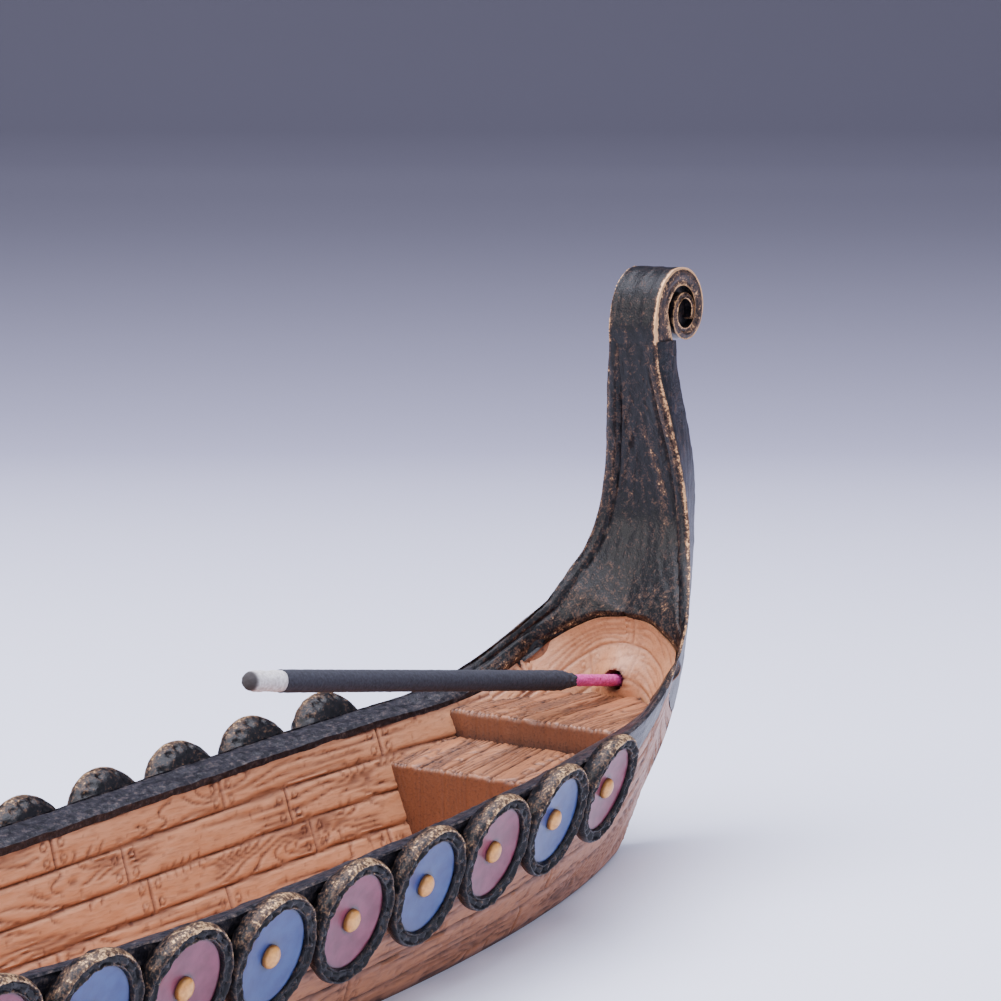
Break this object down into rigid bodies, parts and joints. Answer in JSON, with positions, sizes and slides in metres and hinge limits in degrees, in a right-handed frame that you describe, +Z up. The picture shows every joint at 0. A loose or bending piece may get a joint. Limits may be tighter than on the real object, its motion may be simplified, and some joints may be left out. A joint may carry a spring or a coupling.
{
  "type": "incense burner",
  "caption": "Longship-shaped incense boat with round shields along both sides, a scrolled stern post, a dragon-head prow and a stick leaning from a socket under the stern arch.",
  "frame": {"origin": "middle of the underside of the boat, on the surface it stands on", "axes": "+X towards the scrolled stern post, +Y to starboard, +Z up"},
  "size_m": [0.2372, 0.049, 0.0743],
  "materials": {
    "plank_resin": "tan painted resin with dark brown wash in the grain, satin",
    "base_resin": "brown painted resin, matt",
    "bronze_paint": "black paint dry-brushed with bronze and gold, semi-gloss",
    "red_paint": "plum red paint, satin",
    "blue_paint": "blue paint, satin",
    "gold_paint": "gold-yellow paint, satin",
    "dyed_core": "dyed bamboo core, matt",
    "incense_paste": "dark rolled incense paste, matt",
    "ash": "pale grey ash, matt"
  },
  "bodies": {
    "boat": {"bottom_board": "base_resin", "floor_boards": "plank_resin", "port_planking": "plank_resin", "starboard_planking": "plank_resin", "port_lining": "plank_resin", "starboard_lining": "plank_resin", "port_rail": "bronze_paint", "starboard_rail": "bronze_paint", "stern_end": "plank_resin", "stern_post": "bronze_paint", "stern_scroll": "bronze_paint", "stern_lower_deck": "plank_resin", "stern_upper_deck": "plank_resin", "bow_end": "plank_resin", "bow_post": "bronze_paint", "bow_lower_deck": "plank_resin", "bow_upper_deck": "plank_resin", "dragon_head": "bronze_paint", "dragon_jaw": "bronze_paint", "dragon_horns": "bronze_paint", "dragon_eyes": "gold_paint", "dragon_crest": "bronze_paint", "port_red_faces": "red_paint", "port_blue_faces": "blue_paint", "starboard_red_faces": "red_paint", "starboard_blue_faces": "blue_paint", "port_bosses": "gold_paint", "starboard_bosses": "gold_paint", "port_shield_01": "bronze_paint", "port_shield_02": "bronze_paint", "port_shield_03": "bronze_paint", "port_shield_04": "bronze_paint", "port_shield_05": "bronze_paint", "port_shield_06": "bronze_paint", "port_shield_07": "bronze_paint", "port_shield_08": "bronze_paint", "port_shield_09": "bronze_paint", "port_shield_10": "bronze_paint", "port_shield_11": "bronze_paint", "port_shield_12": "bronze_paint", "starboard_shield_01": "bronze_paint", "starboard_shield_02": "bronze_paint", "starboard_shield_03": "bronze_paint", "starboard_shield_04": "bronze_paint", "starboard_shield_05": "bronze_paint", "starboard_shield_06": "bronze_paint", "starboard_shield_07": "bronze_paint", "starboard_shield_08": "bronze_paint", "starboard_shield_09": "bronze_paint", "starboard_shield_10": "bronze_paint", "starboard_shield_11": "bronze_paint", "starboard_shield_12": "bronze_paint"},
    "incense_stick": {"stick_core": "dyed_core", "incense_coat": "incense_paste", "ash_tip": "ash"}
  },
  "joints": [
    {"name": "stick_pull", "type": "slide", "parent": "boat", "child": "incense_stick", "axis": [-0.9877, 0, 0.1564], "range_m": [0, 0.011]}
  ]
}
